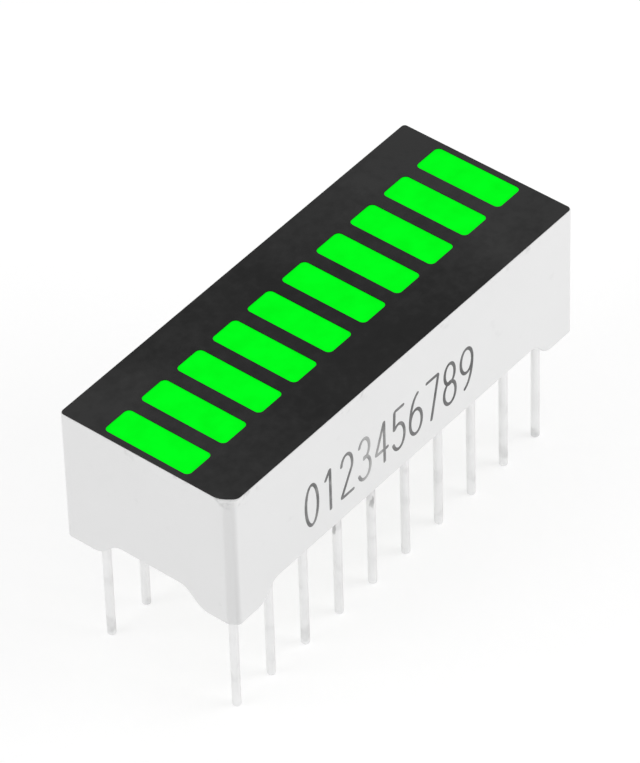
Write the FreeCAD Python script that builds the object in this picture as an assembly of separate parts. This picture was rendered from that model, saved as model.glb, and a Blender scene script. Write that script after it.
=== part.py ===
import FreeCAD, Part
import math
import os

from FreeCAD import Vector

# A light bar display for a circuit board: ten resin bars in a white moulding with a black face,
# and two rows of round leads.
# X runs along the row of bars, Y across it and Z up through the face.
# The origin is the middle of the lead grid, in the plane that the four corner feet stand on.
# All sizes are in millimetres.

# Lead grid
bar_count = 10
pitch = 2.54
row_spacing = 7.62

# Leads
lead_diameter = 0.45
lead_below_seat = 6.70
lead_above_board = 0.35
tin_line_below_seat = 0.40

# Housing walls, and the room between the leads and the inside of the walls
wall = 0.545
end_lead_gap = 0.47
side_lead_gap = 0.465
outer_corner = 0.20
pocket_corner = 0.30

# The cut down the vertical corner beside lead 1
mark_cut_long = 0.28
mark_cut_short = 0.48
mark_cut_round = 0.30

# Corner feet, each with a ramp up to the raised rim between the feet
foot_height = 0.98
long_foot = 2.02
short_foot = 1.99
long_ramp = 0.80
short_ramp = 1.00
foot_round = 1.00
rim_round = 0.80

# Layers, counted upwards from the raised rim
potting_recess = 0.25
potting_thickness = 1.28
board_thickness = 0.80
track_thickness = 0.04
well_depth = 4.40
print_thickness = 0.05

# Light wells: the window in the face print, how far the print laps over a well's edge,
# and the floor on the board
window_length = 5.00
window_width = 1.75
window_corner = 0.28
print_lap = 0.04
floor_length = 2.20
floor_width = 1.00
row_offset = 0.21

# The face print stays back from the housing's edges, and further back from the marked corner
print_margin = 0.035
print_setback = 0.24
print_round_short = 1.20
print_round_long = 0.50

# Hollows over the lead ends, beside the wells
well_wall = 0.80
hollow_roof = 1.20

# Board and tracks
board_gap = 0.10
board_corner = 0.50
lead_hole_gap = 0.03
hole_flats = 8
track_width = 0.40
track_margin = 0.10

# Chips and bond wires
chip_size = 0.30
chip_height = 0.20
wire_thickness = 0.03
wire_rise = 0.15
bond_span = 0.65

# How far a cutting shape runs past what it cuts
cut_extra = 1.0

lead_radius = lead_diameter / 2
last_lead_x = (bar_count - 1) * pitch / 2
lead_row_y = row_spacing / 2
pocket_half_length = last_lead_x + lead_radius + end_lead_gap
pocket_half_width = lead_row_y + lead_radius + side_lead_gap
half_length = pocket_half_length + wall
half_width = pocket_half_width + wall

potting_low = foot_height + potting_recess
board_low = potting_low + potting_thickness
board_top = board_low + board_thickness
core_low = board_top + track_thickness
chip_top = core_low + chip_height
housing_top = core_low + well_depth
hollow_top = housing_top - hollow_roof

well_height = housing_top - board_top
well_half_length = window_length / 2 + print_lap
well_half_width = window_width / 2 + print_lap


def bar_x(index):
    return index * pitch - last_lead_x


def lead_places():
    """Lead 1 stands at the marked corner. The count runs along the near row and back along the far one."""
    near_row = [(bar_x(index), -lead_row_y) for index in range(bar_count)]
    far_row = [(x, lead_row_y) for x, y in reversed(near_row)]
    return near_row + far_row


def rounded_outline(corners, radii):
    """A closed wire through the corners, each turned by an arc of its radius, or sharp at radius 0."""
    count = len(corners)
    turns = []
    for index, radius in enumerate(radii):
        corner = corners[index]
        back = (corners[index - 1] - corner).normalize()
        ahead = (corners[(index + 1) % count] - corner).normalize()
        half_angle = back.getAngle(ahead) / 2
        cut = radius / math.tan(half_angle)
        inward = (back + ahead).normalize()
        middle = corner + inward * (radius / math.sin(half_angle) - radius)
        turns.append((corner + back * cut, middle, corner + ahead * cut))
    edges = []
    for index, radius in enumerate(radii):
        start, middle, end = turns[index]
        if radius > 0:
            edges.append(Part.Arc(start, middle, end).toShape())
        next_start = turns[(index + 1) % count][0]
        edges.append(Part.LineSegment(end, next_start).toShape())
    return Part.Wire(edges)


def rectangle(half_x, half_y, height):
    """The corners of a rectangle about the Z axis, counted round from the marked corner."""
    return [
        Vector(-half_x, -half_y, height),
        Vector(half_x, -half_y, height),
        Vector(half_x, half_y, height),
        Vector(-half_x, half_y, height),
    ]


def marked_plan(margin, setback, cut_rounds, height):
    """The housing's plan, taken in by a margin, with its marked corner cut back further by a setback."""
    half_x = half_length - margin
    half_y = half_width - margin
    _, *corners = rectangle(half_x, half_y, height)
    cut_start = Vector(-half_x, mark_cut_short + setback - half_y, height)
    cut_end = Vector(mark_cut_long + setback - half_x, -half_y, height)
    radii = [outer_corner] * len(corners) + cut_rounds
    return rounded_outline([*corners, cut_start, cut_end], radii)


def pocket_plan(gap, corner, height):
    """The plan of the pocket under the wells, taken in by a gap and with its own corners, at a height."""
    corners = rectangle(pocket_half_length - gap, pocket_half_width - gap, height)
    return rounded_outline(corners, [corner] * len(corners))


def column(outline, height):
    """The solid that stands on a flat outline."""
    return Part.Face(outline).extrude(Vector(0, 0, height))


def gap_profile(half_gap, ramp_run, reach, place):
    """The opening between two feet: flat at the seat, ramps up at both sides, and the raised rim."""
    rim_half = half_gap - ramp_run
    points = [
        (-reach, -cut_extra),
        (reach, -cut_extra),
        (reach, 0),
        (half_gap, 0),
        (rim_half, foot_height),
        (-rim_half, foot_height),
        (-half_gap, 0),
        (-reach, 0),
    ]
    radii = [0, 0, 0, foot_round, rim_round, rim_round, foot_round, 0]
    return rounded_outline([place(across, up) for across, up in points], radii)


def gaps_between_feet():
    """Two openings that cross in the middle and leave a foot at each corner."""
    past_length = half_length + cut_extra
    past_width = half_width + cut_extra
    under_long_sides = gap_profile(
        half_length - long_foot, long_ramp, past_length, lambda x, z: Vector(x, -past_width, z)
    )
    under_short_sides = gap_profile(
        half_width - short_foot, short_ramp, past_width, lambda y, z: Vector(-past_length, y, z)
    )
    return [
        Part.Face(under_long_sides).extrude(Vector(0, 2 * past_width, 0)),
        Part.Face(under_short_sides).extrude(Vector(2 * past_length, 0, 0)),
    ]


def light_well(index):
    """The space of one bar: narrow on the board, and wide at the housing's top."""
    well = Part.makeWedge(
        -floor_width / 2, 0, -floor_length / 2, -well_half_length, -well_half_width,
        floor_width / 2, well_height, floor_length / 2, well_half_length, well_half_width,
    )
    well.rotate(Vector(0, 0, 0), Vector(1, 0, 0), 90)
    well.translate(Vector(bar_x(index), row_offset, board_top))
    return well


def well_reach(height, side):
    """How far the wells reach from the middle plane towards one side, at a height."""
    share = (height - board_top) / well_height
    half = floor_length / 2 + share * (well_half_length - floor_length / 2)
    return half + side * row_offset


def lead_hollow(side):
    """The long hollow over one row of lead ends. Its inner wall follows the wells at an even thickness."""
    section = [
        (pocket_half_width, board_low),
        (pocket_half_width, hollow_top),
        (well_reach(hollow_top, side) + well_wall, hollow_top),
        (well_reach(board_low, side) + well_wall, board_low),
    ]
    corners = [Vector(-pocket_half_length, side * y, z) for y, z in section]
    outline = Part.makePolygon(corners + corners[:1])
    hollow = Part.Face(outline).extrude(Vector(2 * pocket_half_length, 0, 0))
    return hollow.common(column(pocket_plan(0, pocket_corner, board_low), housing_top - board_low))


def reflector_housing(wells):
    """The white moulding: outer walls, pocket for the board, hollows, light wells and corner feet."""
    body = column(marked_plan(0, 0, [mark_cut_round, mark_cut_round], 0), housing_top)
    pocket = column(pocket_plan(0, pocket_corner, -cut_extra), core_low + cut_extra)
    hollows = [lead_hollow(side) for side in (-1, 1)]
    return body.cut([pocket, *hollows, *gaps_between_feet(), *wells])


def window(index):
    """The opening in the face print over one bar."""
    corners = rectangle(window_width / 2, window_length / 2, housing_top)
    opening = column(rounded_outline(corners, [window_corner] * len(corners)), print_thickness)
    opening.translate(Vector(bar_x(index), row_offset, 0))
    return opening


def face_print():
    """The black layer on the housing's top. It laps over the edges of the bars."""
    cut_rounds = [print_round_short, print_round_long]
    layer = column(marked_plan(print_margin, print_setback, cut_rounds, housing_top), print_thickness)
    return layer.cut([window(index) for index in range(bar_count)])


def lead(x, y):
    """One round wire, with an edge round it where the tinned stretch ends."""
    profile = [
        Vector(0, 0, -lead_below_seat),
        Vector(lead_radius, 0, -lead_below_seat),
        Vector(lead_radius, 0, -tin_line_below_seat),
        Vector(lead_radius, 0, board_top + lead_above_board),
        Vector(0, 0, board_top + lead_above_board),
    ]
    outline = Part.Face(Part.makePolygon(profile + profile[:1]))
    wire = outline.revolve(Vector(0, 0, 0), Vector(0, 0, 1), 360)
    wire.translate(Vector(x, y, 0))
    return wire


def lead_hole(x, y, radius, low, depth):
    """A hole for one lead. It has flats that touch its circle, to keep the many repeats light."""
    corner_radius = radius / math.cos(math.pi / hole_flats)
    corners = []
    for step in range(hole_flats):
        angle = 2 * math.pi * step / hole_flats
        across = Vector(math.cos(angle), math.sin(angle), 0) * corner_radius
        corners.append(Vector(x, y, low) + across)
    return column(Part.makePolygon(corners + corners[:1]), depth)


def pierced_slab(plan, hole_gap, low, thickness):
    """A slab with a hole for every lead."""
    holes = [lead_hole(x, y, lead_radius + hole_gap, low, thickness) for x, y in lead_places()]
    return column(plan, thickness).cut(holes)


def circuit_board():
    """The board that carries the chips and the leads."""
    plan = pocket_plan(board_gap, board_corner, board_low)
    return pierced_slab(plan, lead_hole_gap, board_low, board_thickness)


def potting():
    """The resin that closes the pocket under the board, cast round the leads."""
    plan = pocket_plan(0, pocket_corner, potting_low)
    return pierced_slab(plan, 0, potting_low, potting_thickness)


def track(index, low_y, high_y):
    """One copper strip across the board."""
    corner = Vector(bar_x(index) - track_width / 2, low_y, board_top)
    return Part.makeBox(track_width, high_y - low_y, track_thickness, corner)


def chip_track(index):
    """The strip from the near lead to under the chip."""
    return track(index, lead_radius - lead_row_y, row_offset + chip_size / 2 + track_margin)


def bond_track(index):
    """The strip from under the bond wire's foot to the far lead."""
    return track(index, row_offset + bond_span - track_margin, lead_row_y - lead_radius)


def led_chip(index):
    """One light-emitting chip, in the middle of its well's floor."""
    corner = Vector(bar_x(index) - chip_size / 2, row_offset - chip_size / 2, core_low)
    return Part.makeBox(chip_size, chip_size, chip_height, corner)


def bond_wire(index):
    """A fine wire that rises from the chip's top, bends, and runs down to its track."""
    start = Vector(bar_x(index), row_offset, chip_top)
    crest = start + Vector(0, 0, wire_rise)
    foot = start + Vector(0, bond_span, -chip_height)
    past_foot = foot + (foot - crest)
    section = [start + corner for corner in rectangle(wire_thickness / 2, wire_thickness / 2, 0)]
    path = Part.makePolygon([start, crest, past_foot])
    sharp_bends = 1
    run = path.makePipeShell([Part.makePolygon(section + section[:1])], True, False, sharp_bends)
    chip_corner = start - Vector(chip_size / 2, chip_size / 2, chip_height)
    above_track = Part.makeBox(chip_size, chip_size + bond_span, cut_extra, chip_corner)
    return run.common(above_track)


def save(name, shape):
    shape.exportStep(f"parts/{name}.step")


def build():
    os.makedirs("parts", exist_ok=True)
    wells = [light_well(index) for index in range(bar_count)]
    tracks = []
    for index, well in enumerate(wells):
        label = f"{index + 1:02d}"
        chip = led_chip(index)
        wire = bond_wire(index)
        strips = [chip_track(index), bond_track(index)]
        tracks += strips
        save(f"light_bar_{label}", well.cut([chip, wire, *strips]))
        save(f"led_chip_{label}", chip)
        save(f"bond_wire_{label}", wire)
    for index, (x, y) in enumerate(lead_places()):
        save(f"lead_{index + 1:02d}", lead(x, y))
    save("reflector_housing", reflector_housing(wells))
    save("face_print", face_print())
    save("circuit_board", circuit_board())
    save("copper_tracks", Part.makeCompound(tracks))
    save("potting", potting())


build()
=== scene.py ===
import math

import bpy
from mathutils import Matrix, Vector


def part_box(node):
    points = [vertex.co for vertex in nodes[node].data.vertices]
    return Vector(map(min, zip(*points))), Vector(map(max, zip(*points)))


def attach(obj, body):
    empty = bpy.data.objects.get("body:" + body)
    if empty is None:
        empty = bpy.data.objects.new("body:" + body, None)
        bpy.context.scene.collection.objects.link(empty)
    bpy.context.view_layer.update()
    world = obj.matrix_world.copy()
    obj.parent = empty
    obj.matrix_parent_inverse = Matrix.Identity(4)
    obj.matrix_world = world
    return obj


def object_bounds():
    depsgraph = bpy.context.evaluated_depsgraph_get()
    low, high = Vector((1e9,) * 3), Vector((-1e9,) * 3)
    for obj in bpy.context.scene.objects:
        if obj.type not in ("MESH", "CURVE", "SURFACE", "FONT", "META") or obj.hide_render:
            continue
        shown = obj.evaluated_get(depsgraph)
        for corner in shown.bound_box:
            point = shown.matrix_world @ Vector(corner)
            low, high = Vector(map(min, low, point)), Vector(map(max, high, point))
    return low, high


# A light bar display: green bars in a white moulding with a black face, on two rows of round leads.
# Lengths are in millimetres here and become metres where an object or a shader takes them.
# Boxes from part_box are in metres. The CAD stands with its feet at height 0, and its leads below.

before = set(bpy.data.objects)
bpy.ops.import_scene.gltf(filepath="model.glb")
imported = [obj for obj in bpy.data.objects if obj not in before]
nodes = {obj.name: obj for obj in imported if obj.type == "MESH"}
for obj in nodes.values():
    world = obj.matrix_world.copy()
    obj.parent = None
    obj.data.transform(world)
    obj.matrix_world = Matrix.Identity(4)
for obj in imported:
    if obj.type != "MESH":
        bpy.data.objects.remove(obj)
cad_low, cad_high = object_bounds()

mm = 0.001

# Camera, aimed at a point in the plane of the black face
camera_azimuth = -49.963
camera_elevation = 42.968
camera_roll = -1.797
camera_distance = 276.479
aim_x = -3.869
aim_y = -3.112
picture_height = 763
focal_pixels = 6058.49
sensor_width = 36.0
clip_near = 10.0
clip_far = 10000.0

# Floor and backdrop
floor_half_size = 4000.0
floor_bounce = 0.85
floor_tone = 0.45
floor_glow = 0.61
far_floor_glow = 0.79
glow_rise_start = 60.0
glow_rise_end = 320.0
backdrop_strength = 1.0

# Light
world_strength = 0.65
lamp_size = 260.0
lamp_distance = 380.0
left_lamp_direction = (-1.0, 0.55, 0.45)
left_lamp_power = 0.44
right_lamp_direction = (0.75, -1.0, 0.5)
right_lamp_power = 0.64

# Softened edges
moulding_edge = 0.035
moulding_edge_steps = 2
print_edge = 0.012
print_edge_steps = 1
lead_tip_edge = 0.09
lead_tip_edge_steps = 4
sharp_angle = 30.0
flat_angle = 0.5
weld_distance = 0.0005

# Range that most of a noise lies in
noise_low = 0.3
noise_high = 0.7

# How far dark specks reach below the top edge, and darker tin above the lead tips
speck_band_reach = 0.75
dark_tip_reach = 1.7

# Where along the part the black is darkest, with least painted sheen, a digit is faint, and two
# leads carry dark flecks
darkest_black_x = -1.5
faint_digit_x = -2.9
flecked_leads_x = -2.54

# Numbers on the long side
digit_height = 2.51
digit_width = 0.87
digit_pitch = 1.28
digit_left = -7.45
digit_drop = 3.035
stroke_width = 0.19
stroke_side_steps = 2
ink_thickness = 0.012
turn_points = 32
full_turn = 360
corner_angle = 40.0
corner_reach = 0.12
corner_steps = 6
end_angles = (25.0, 50.0, 68.0, 80.0)

# Resin drawn up round each lead where it leaves the back
meniscus_reach = 0.16
meniscus_rise = 0.14
meniscus_sides = 24
meniscus_steps = 5


def add(tree, kind, inputs=None, **settings):
    """A node with its settings. Each input is a plain value, or the output that feeds it."""
    made = tree.nodes.new(kind)
    for name, value in settings.items():
        setattr(made, name, value)
    for name, value in (inputs or {}).items():
        if isinstance(value, bpy.types.NodeSocket):
            tree.links.new(value, made.inputs[name])
        else:
            made.inputs[name].default_value = value
    return made


def grey(level):
    """A colour with no hue, from 0 for black to 1 for white."""
    return (level, level, level, 1.0)


def rgb(red, green, blue):
    """An opaque colour."""
    return (red, green, blue, 1.0)


def place(tree, stretch=(1.0, 1.0, 1.0)):
    """The point on the object in the CAD frame, with a scale along each axis."""
    point = add(tree, "ShaderNodeTexCoord").outputs["Object"]
    return add(tree, "ShaderNodeMapping", {"Vector": point, "Scale": stretch}).outputs["Vector"]


def axis_value(tree, axis):
    """The point's coordinate along an axis of the CAD frame."""
    return add(tree, "ShaderNodeSeparateXYZ", {"Vector": place(tree)}).outputs[axis]


def calculate(tree, operation, *values):
    """The result of a math node on some values."""
    inputs = dict(enumerate(values))
    return add(tree, "ShaderNodeMath", inputs, operation=operation).outputs["Value"]


def product(tree, first, *others):
    """Some values multiplied."""
    result = first
    for value in others:
        result = calculate(tree, "MULTIPLY", result, value)
    return result


def total(tree, parts):
    """The sum of some values, each times its weight."""
    result = 0.0
    for value, weight in parts:
        result = calculate(tree, "MULTIPLY_ADD", value, weight, result)
    return result


def away_from(tree, axis, middle):
    """How far the point is from a middle, given in millimetres, along an axis of the CAD frame."""
    apart = total(tree, [(axis_value(tree, axis), 1.0), (middle * mm, -1.0)])
    return calculate(tree, "ABSOLUTE", apart)


def noise(tree, size, stretch=(1.0, 1.0, 1.0), detail=2.0, distortion=0.0):
    """Soft noise with features of a size in millimetres, longer where an axis has a low scale."""
    inputs = {
        "Vector": place(tree, stretch),
        "Scale": 1 / (size * mm),
        "Detail": detail,
        "Distortion": distortion,
    }
    return add(tree, "ShaderNodeTexNoise", inputs).outputs["Fac"]


def spread(tree, value, start, end, first=0.0, last=1.0):
    """A value that goes smoothly from first to last as another goes from start to end."""
    inputs = {"Value": value, "From Min": start, "From Max": end, "To Min": first, "To Max": last}
    made = add(tree, "ShaderNodeMapRange", inputs, interpolation_type="SMOOTHSTEP")
    return made.outputs["Result"]


def ramp(tree, value, stops):
    """A colour that goes through the stops as a value goes from 0 to 1."""
    made = add(tree, "ShaderNodeValToRGB", {"Fac": value})
    elements = made.color_ramp.elements
    while len(elements) < len(stops):
        elements.new(1.0)
    for element, (position, colour) in zip(elements, stops):
        element.position = position
        element.color = colour
    return made.outputs["Color"]


def swing(tree, pattern, first, last):
    """A value that follows a noise pattern from first to last."""
    return spread(tree, pattern, noise_low, noise_high, first, last)


def tint(tree, pattern, first, last):
    """A colour that follows a noise pattern from first to last."""
    return ramp(tree, pattern, [(noise_low, first), (noise_high, last)])


def shaded(tree, share, colour, shade):
    """A colour, multiplied by a shade where a share is 1."""
    made = add(tree, "ShaderNodeMix", data_type="RGBA", blend_type="MULTIPLY")
    by_name = {socket.identifier: socket for socket in made.inputs}
    tree.links.new(share, by_name["Factor_Float"])
    tree.links.new(colour, by_name["A_Color"])
    by_name["B_Color"].default_value = shade
    return next(socket for socket in made.outputs if socket.identifier == "Result_Color")


def bump(tree, height, depth):
    """The normal of a surface that a height from 0 to 1 raises by a depth in millimetres."""
    inputs = {"Height": height, "Distance": depth * mm}
    return add(tree, "ShaderNodeBump", inputs).outputs["Normal"]


def moulding(tree):
    """White moulded plastic: flow tones, scuffs, spark texture, and dark specks in a band under the
    top edge.
    """
    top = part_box("reflector_housing")[1].z
    flow = tint(tree, noise(tree, size=7.0), grey(0.785), grey(0.8))
    scuffs = spread(tree, noise(tree, size=0.9, detail=4.0), start=0.66, end=0.76)
    worn = shaded(tree, scuffs, flow, grey(0.97))
    # A band of dark specks under the top edge.
    below_top = spread(tree, axis_value(tree, "Z"), start=top - speck_band_reach * mm, end=top)
    drifts = spread(tree, noise(tree, size=2.6), start=0.42, end=0.62)
    specks = spread(tree, noise(tree, size=0.5, detail=4.0), start=0.5, end=0.74)
    top_specks = product(tree, below_top, drifts, specks)
    return {
        "Base Color": shaded(tree, top_specks, worn, grey(0.73)),
        "Roughness": swing(tree, noise(tree, size=2.5), first=0.42, last=0.54),
        "Normal": bump(tree, noise(tree, size=0.12), depth=0.0012),
    }


def black_ink(tree):
    """Satin black print with painted sheen, paler towards each end and the far side, with its
    screen's mottle and grain.
    """
    from_darkest = away_from(tree, "X", darkest_black_x)
    # Painted sheen: the black is paler away from its darkest place along the part.
    end_sheen = spread(tree, from_darkest, start=1.0 * mm, end=15.0 * mm, first=-0.3, last=0.7)
    # Painted sheen: the black is paler towards the far side.
    across = spread(tree, axis_value(tree, "Y"), start=-5.0 * mm, end=5.0 * mm)
    broad = noise(tree, size=4.5, detail=4.0, distortion=0.5)
    fine = noise(tree, size=0.5, detail=3.0)
    # The paleness mixes that painted sheen with the print's own mottle.
    paleness = total(tree, [(end_sheen, 0.56), (across, 0.1), (broad, 0.5), (fine, 0.54)])
    tones = [(0.25, grey(0.001)), (0.4, grey(0.003)), (0.88, grey(0.02))]
    return {
        "Base Color": ramp(tree, paleness, tones),
        "Roughness": swing(tree, broad, first=0.58, last=0.5),
        "Specular IOR Level": 0.18,
        "Normal": bump(tree, noise(tree, size=0.14, detail=1.0), depth=0.0015),
    }


def lit_resin(tree):
    """Diffusing green resin, lit evenly from below, with the filler's faint cloudiness."""
    cloud = noise(tree, size=1.1, detail=3.0)
    return {
        "Base Color": tint(tree, cloud, rgb(0.0, 0.34, 0.004), rgb(0.0, 0.4, 0.006)),
        "Roughness": swing(tree, cloud, first=0.48, last=0.58),
        "Specular IOR Level": 0.01,
        "Emission Color": tint(tree, cloud, rgb(0.0, 0.94, 0.008), rgb(0.0, 1.0, 0.01)),
        "Emission Strength": 0.67,
        "Normal": bump(tree, noise(tree, size=0.2), depth=0.001),
    }


def tinned_wire(tree):
    """Drawn wire with matt tin: streaks, darker spots near the tips, painted shade in spots at the
    root under the body, and dark flecks on two leads.
    """
    streaks = noise(tree, size=0.06, stretch=(1.0, 1.0, 0.04))
    patches = noise(tree, size=1.3)
    height = axis_value(tree, "Z")
    tip_end = cad_low.z + dark_tip_reach * mm
    # Darker tin towards the tips.
    tip = spread(tree, height, start=cad_low.z, end=tip_end, first=1.0, last=0.2)
    # Painted shade: darker tin just under the body, where the body shades the leads.
    root = spread(tree, height, start=-1.6 * mm, end=-0.2 * mm, first=0.2, last=1.0)
    spots = spread(tree, patches, start=0.52, end=0.66)
    dark_tip_and_root_shade = product(tree, calculate(tree, "MAXIMUM", tip, root), spots)
    # Dark flecks near the root of two leads.
    from_flecked = away_from(tree, "X", flecked_leads_x)
    flecked_leads = spread(tree, from_flecked, start=1.6 * mm, end=2.2 * mm, first=1.0, last=0.0)
    near_root = spread(tree, height, start=-1.9 * mm, end=-1.3 * mm)
    flecks = spread(tree, noise(tree, size=0.4, stretch=(1.0, 1.0, 0.4)), start=0.52, end=0.62)
    dark_flecks = product(tree, flecks, near_root, flecked_leads)
    tin = tint(tree, patches, grey(0.86), grey(0.81))
    return {
        "Base Color": shaded(tree, dark_flecks, shaded(tree, dark_tip_and_root_shade, tin, grey(0.8)), grey(0.6)),
        "Metallic": 1.0,
        "Roughness": swing(tree, streaks, first=0.34, last=0.5),
        "Normal": bump(tree, streaks, depth=0.002),
    }


def potting_resin(tree):
    """Cast resin at the back: smooth and slightly cloudy."""
    cloud = noise(tree, size=2.0, detail=3.0)
    return {
        "Base Color": tint(tree, cloud, rgb(0.6, 0.61, 0.56), rgb(0.68, 0.69, 0.64)),
        "Roughness": swing(tree, noise(tree, size=1.2), first=0.18, last=0.3),
        "Normal": bump(tree, noise(tree, size=2.4), depth=0.02),
    }


def laminate(tree):
    """Green circuit board with the weave of the glass cloth under its lacquer."""
    weave = noise(tree, size=0.25, stretch=(1.0, 0.25, 1.0), detail=1.0)
    return {
        "Base Color": tint(tree, weave, rgb(0.012, 0.12, 0.045), rgb(0.02, 0.17, 0.065)),
        "Roughness": swing(tree, weave, first=0.3, last=0.42),
        "Normal": bump(tree, weave, depth=0.004),
    }


def copper(tree):
    """Plated copper with small tarnish tones."""
    tarnish = noise(tree, size=0.3, detail=3.0)
    return {
        "Base Color": tint(tree, tarnish, rgb(0.62, 0.33, 0.16), rgb(0.78, 0.46, 0.24)),
        "Metallic": 1.0,
        "Roughness": swing(tree, tarnish, first=0.25, last=0.42),
        "Normal": bump(tree, tarnish, depth=0.001),
    }


def sawn_chip(tree):
    """A sawn crystal: fine saw lines and a yellow-green body."""
    lines = noise(tree, size=0.05, stretch=(1.0, 1.0, 0.2), detail=1.0)
    return {
        "Base Color": tint(tree, lines, rgb(0.42, 0.48, 0.24), rgb(0.55, 0.6, 0.34)),
        "Roughness": swing(tree, lines, first=0.2, last=0.4),
        "Normal": bump(tree, lines, depth=0.001),
    }


def gold_wire(tree):
    """Fine drawn gold."""
    draw_lines = noise(tree, size=0.01, stretch=(1.0, 0.1, 0.1), detail=1.0)
    return {
        "Base Color": tint(tree, draw_lines, rgb(0.8, 0.57, 0.2), rgb(0.9, 0.68, 0.28)),
        "Metallic": 1.0,
        "Roughness": swing(tree, draw_lines, first=0.15, last=0.28),
    }


def grey_ink(tree):
    """Thin grey print with fine mottle, faint at one digit and heavier towards the right."""
    from_faint = away_from(tree, "X", faint_digit_x)
    faint = spread(tree, from_faint, start=0.5 * mm, end=1.6 * mm, first=0.34, last=0.0)
    heavy = spread(tree, axis_value(tree, "X"), start=-1.5 * mm, end=3.2 * mm, first=0.0, last=0.2)
    mottle = noise(tree, size=0.8, detail=3.0)
    paleness = total(tree, [(mottle, 1.0), (faint, 1.0), (heavy, -1.0)])
    tones = [(0.2, grey(0.09)), (0.5, grey(0.172)), (0.85, grey(0.4))]
    return {
        "Base Color": ramp(tree, paleness, tones),
        "Roughness": swing(tree, paleness, first=0.5, last=0.65),
        "Specular IOR Level": 0.3,
    }


def cleared(owner):
    """The node tree of a new material or world, with nothing in it."""
    owner.use_nodes = True
    owner.node_tree.nodes.clear()
    return owner.node_tree


def material(name, recipe):
    """A new material. The recipe takes the node tree and returns the surface shader's inputs."""
    made = bpy.data.materials.new(name)
    tree = cleared(made)
    surface = add(tree, "ShaderNodeBsdfPrincipled", recipe(tree))
    add(tree, "ShaderNodeOutputMaterial", {"Surface": surface.outputs["BSDF"]})
    return made


def put_in_scene(name, data):
    """A new object in the scene."""
    made = bpy.data.objects.new(name, data)
    bpy.context.scene.collection.objects.link(made)
    return made


def dress(prefix, coat):
    """Gives the material to every CAD node whose name starts so, and returns those nodes."""
    found = [node for name, node in sorted(nodes.items()) if name.startswith(prefix)]
    for node in found:
        node.data.materials.clear()
        node.data.materials.append(coat)
    return found


def soften(node, width, steps):
    """Rounds a node's sharp edges, after its coplanar triangles are joined."""
    weld = node.modifiers.new("weld", "WELD")
    weld.merge_threshold = weld_distance * mm
    flatten = node.modifiers.new("join_flats", "DECIMATE")
    flatten.decimate_type = "DISSOLVE"
    flatten.angle_limit = math.radians(flat_angle)
    bevel = node.modifiers.new("edges", "BEVEL")
    bevel.width = width * mm
    bevel.segments = steps
    bevel.limit_method = "ANGLE"
    bevel.angle_limit = math.radians(sharp_angle)


def turn(centre, radii, start, end):
    """Points along part of an ellipse in a digit's cell, counted in degrees from its right side."""
    steps = max(2, round(turn_points * abs(end - start) / full_turn))
    points = []
    for step in range(steps + 1):
        angle = math.radians(start + (end - start) * step / steps)
        across = centre[0] + radii[0] * math.cos(angle)
        up = centre[1] + radii[1] * math.sin(angle)
        points.append((across, up))
    return points


def digit_strokes():
    """The strokes of the ten digits, each in a cell one wide and one high."""
    top, bottom = (0.5, 0.75), (0.5, 0.27)
    small, large = (0.43, 0.25), (0.5, 0.27)
    tall = (0.9, 0.7)
    return [
        [turn((0.5, 0.5), (0.5, 0.5), 0, 360)],
        [[(0.2, 0.8), (0.58, 1.0), (0.58, 0.0)]],
        [turn((0.5, 0.72), (0.46, 0.28), 165, -25) + [(0.0, 0.0), (1.0, 0.0)]],
        [turn(top, small, 155, -90), turn(bottom, large, 90, -155)],
        [[(0.74, 0.0), (0.74, 1.0), (0.0, 0.3), (1.0, 0.3)]],
        [[(0.9, 1.0), (0.16, 1.0), (0.1, 0.54)] + turn((0.48, 0.31), (0.5, 0.31), 125, -155)],
        [turn((0.5, 0.3), (0.5, 0.3), 180, 540), turn((0.9, 0.3), tall, 180, 105)],
        [[(0.0, 1.0), (1.0, 1.0), (0.36, 0.0)]],
        [turn(top, small, -90, 270), turn(bottom, large, 90, 450)],
        [turn((0.5, 0.7), (0.5, 0.3), 0, 360), turn((0.1, 0.7), tall, 0, -75)],
    ]


def eased(points):
    """The points of a stroke, with short curves for sharp corners, so that it keeps its width."""
    kept = [points[0]]
    for before, corner, after in zip(points, points[1:], points[2:]):
        back, ahead = (before - corner), (after - corner)
        if math.degrees(back.angle(-ahead)) < corner_angle:
            kept.append(corner)
            continue
        start = corner + back.normalized() * min(corner_reach, back.length / 2)
        end = corner + ahead.normalized() * min(corner_reach, ahead.length / 2)
        for step in range(corner_steps + 1):
            share = step / corner_steps
            kept.append(start.lerp(corner, share).lerp(corner.lerp(end, share), share))
    return kept + [points[-1]]


def round_end(inside, end):
    """Points past a stroke's end that close it in a half circle, with their shares of the width."""
    outward = (end - inside).normalized() * stroke_width / 2
    angles = [math.radians(angle) for angle in end_angles]
    return [(end + outward * math.sin(angle), math.cos(angle)) for angle in angles]


def number_print(side_y, top_level):
    """The row of digits on the long side, as thin ink strokes at a depth below the top."""
    curve = bpy.data.curves.new("number_print", "CURVE")
    curve.dimensions = "3D"
    curve.bevel_depth = stroke_width / 2 * mm
    curve.bevel_resolution = stroke_side_steps
    curve.use_fill_caps = True
    foot = top_level - (digit_drop + digit_height) * mm
    for count, strokes in enumerate(digit_strokes()):
        left = digit_left + count * digit_pitch
        for stroke in strokes:
            points = eased([Vector((left + x * digit_width, z * digit_height)) for x, z in stroke])
            closed = (points[0] - points[-1]).length < weld_distance
            kept = [(point, 1.0) for point in points]
            if closed:
                kept.pop()
            else:
                before = round_end(points[1], points[0])[::-1]
                kept = before + kept + round_end(points[-2], points[-1])
            spline = curve.splines.new("POLY")
            spline.points.add(len(kept) - 1)
            spline.use_cyclic_u = closed
            for point, (spot, share) in zip(spline.points, kept):
                point.co = (spot.x * mm, 0.0, foot + spot.y * mm, 1.0)
                point.radius = share
    printed = put_in_scene("number_print", curve)
    printed.location = (0.0, side_y, 0.0)
    printed.scale = (1.0, ink_thickness / stroke_width, 1.0)
    return printed


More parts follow.
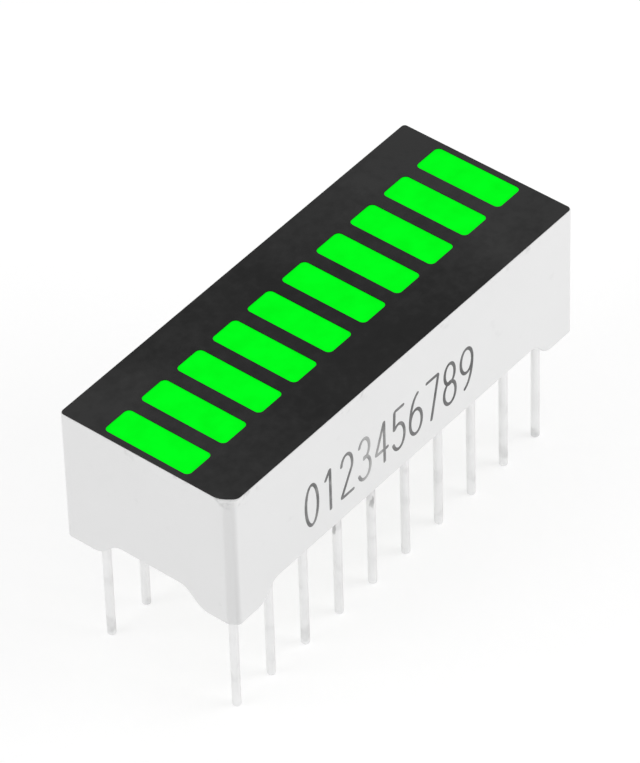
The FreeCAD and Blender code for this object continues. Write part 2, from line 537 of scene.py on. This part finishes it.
def meniscus(name, centre, radius, level):
    """The small collar of resin round a lead: a closed ring with a hollow slope outside."""
    rings = []
    for step in range(meniscus_steps + 1):
        share = step / meniscus_steps
        reach = radius + meniscus_reach * mm * (1 - share)
        drop = meniscus_rise * mm * share * share
        rings.append((reach, level - drop))
    rings.append((radius, level))
    points = []
    for reach, z in rings:
        for side in range(meniscus_sides):
            angle = 2 * math.pi * side / meniscus_sides
            x = centre.x + reach * math.cos(angle)
            y = centre.y + reach * math.sin(angle)
            points.append((x, y, z))
    faces = []
    for ring in range(len(rings)):
        low = ring * meniscus_sides
        high = (ring + 1) % len(rings) * meniscus_sides
        for side in range(meniscus_sides):
            after = (side + 1) % meniscus_sides
            faces.append((low + side, high + side, high + after, low + after))
    mesh = bpy.data.meshes.new(name)
    mesh.from_pydata(points, [], faces)
    mesh.shade_smooth()
    mesh.set_sharp_from_angle(angle=math.radians(sharp_angle))
    return put_in_scene(name, mesh)


def add_collars(coat):
    """A collar of resin round every lead, where it leaves the back."""
    back_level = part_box("potting")[0].z
    for name in sorted(nodes):
        if name.startswith("lead_"):
            low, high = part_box(name)
            radius = (high.x - low.x) / 2
            collar = meniscus(f"{name}_resin_collar", (low + high) / 2, radius, back_level)
            collar.data.materials.append(coat)
            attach(collar, "root")


def seen_directly(tree):
    """1 for rays that show a thing to the camera, in gloss or through glass, and 0 for others."""
    path = add(tree, "ShaderNodeLightPath").outputs
    first = calculate(tree, "MAXIMUM", path["Is Camera Ray"], path["Is Glossy Ray"])
    return calculate(tree, "MAXIMUM", first, path["Is Transmission Ray"])


def mixed(tree, share, first, second):
    """Two shaders mixed by a share."""
    made = add(tree, "ShaderNodeMixShader", {"Fac": share})
    tree.links.new(first, made.inputs[1])
    tree.links.new(second, made.inputs[2])
    return made.outputs["Shader"]


def floor_white():
    """White that shows the object's shadow where it is seen, and otherwise throws back light."""
    coat = bpy.data.materials.new("floor_white")
    tree = cleared(coat)
    bounce = add(tree, "ShaderNodeBsdfDiffuse", {"Color": grey(floor_bounce)})
    lit = add(tree, "ShaderNodeBsdfDiffuse", {"Color": grey(floor_tone)})
    length = add(tree, "ShaderNodeVectorMath", {0: place(tree)}, operation="LENGTH")
    rise = {"start": glow_rise_start * mm, "end": glow_rise_end * mm}
    strength = spread(tree, length.outputs["Value"], **rise, first=floor_glow, last=far_floor_glow)
    glow = add(tree, "ShaderNodeEmission", {"Color": grey(1.0), "Strength": strength})
    shown = add(tree, "ShaderNodeAddShader")
    tree.links.new(lit.outputs["BSDF"], shown.inputs[0])
    tree.links.new(glow.outputs["Emission"], shown.inputs[1])
    mix = mixed(tree, seen_directly(tree), bounce.outputs["BSDF"], shown.outputs["Shader"])
    add(tree, "ShaderNodeOutputMaterial", {"Surface": mix})
    return coat


def make_floor(level):
    """A floor that shows the object's shadow and otherwise looks as plain as paper."""
    half = floor_half_size * mm
    corners = [(-half, -half), (half, -half), (half, half), (-half, half)]
    mesh = bpy.data.meshes.new("floor")
    mesh.from_pydata([(x, y, level) for x, y in corners], [], [(0, 1, 2, 3)])
    mesh.materials.append(floor_white())
    floor = put_in_scene("floor", mesh)


def make_world():
    """Even white light from all round, and a plain white backdrop."""
    world = bpy.data.worlds.new("studio")
    bpy.context.scene.world = world
    tree = cleared(world)
    shaders = []
    for strength in (world_strength, backdrop_strength):
        made = add(tree, "ShaderNodeBackground", {"Color": grey(1.0), "Strength": strength})
        shaders.append(made.outputs["Background"])
    mix = mixed(tree, seen_directly(tree), *shaders)
    add(tree, "ShaderNodeOutputWorld", {"Surface": mix})


def make_lamp(name, direction, power):
    """A large square lamp that shines on the object from a direction."""
    light = bpy.data.lights.new(name, "AREA")
    light.size = lamp_size * mm
    light.energy = power
    lamp = put_in_scene(name, light)
    away = Vector(direction).normalized()
    lamp.location = away * lamp_distance * mm
    lamp.rotation_mode = "QUATERNION"
    lamp.rotation_quaternion = away.to_track_quat("Z", "Y")


def make_camera(aim_level):
    """The camera at the photograph's viewing angle."""
    data = bpy.data.cameras.new("camera")
    data.sensor_width = sensor_width
    data.lens = focal_pixels * sensor_width / picture_height
    data.clip_start = clip_near * mm
    data.clip_end = clip_far * mm
    camera = put_in_scene("camera", data)
    azimuth, elevation = math.radians(camera_azimuth), math.radians(camera_elevation)
    back = Vector((
        math.sin(azimuth) * math.cos(elevation),
        -math.cos(azimuth) * math.cos(elevation),
        math.sin(elevation),
    ))
    right = Vector((0.0, 0.0, 1.0)).cross(back).normalized()
    up = back.cross(right)
    level = Matrix((right, up, back)).transposed()
    turned = level @ Matrix.Rotation(math.radians(camera_roll), 3, "Z")
    camera.rotation_mode = "QUATERNION"
    camera.rotation_quaternion = turned.to_quaternion()
    camera.location = Vector((aim_x * mm, aim_y * mm, aim_level)) + back * camera_distance * mm
    bpy.context.scene.camera = camera


bpy.context.scene.view_settings.view_transform = "Standard"

dress("light_bar_", material("lit_green_resin", lit_resin))
dress("circuit_board", material("board_laminate", laminate))
dress("copper_tracks", material("track_copper", copper))
dress("led_chip_", material("sawn_chip", sawn_chip))
dress("bond_wire_", material("gold_wire", gold_wire))
for housing in dress("reflector_housing", material("white_moulding", moulding)):
    soften(housing, moulding_edge, moulding_edge_steps)
for layer in dress("face_print", material("black_print", black_ink)):
    soften(layer, print_edge, print_edge_steps)
for lead in dress("lead_", material("tinned_wire", tinned_wire)):
    soften(lead, lead_tip_edge, lead_tip_edge_steps)

wall_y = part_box("reflector_housing")[0].y
face_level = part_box("face_print")[1].z
digits = number_print(wall_y, face_level)
digits.data.materials.append(material("grey_print", grey_ink))
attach(digits, "root")

resin = material("potting_resin", potting_resin)
dress("potting", resin)
add_collars(resin)

make_floor(cad_low.z)
make_world()
make_lamp("soft_left", left_lamp_direction, left_lamp_power)
make_lamp("soft_right", right_lamp_direction, right_lamp_power)
make_camera(face_level)
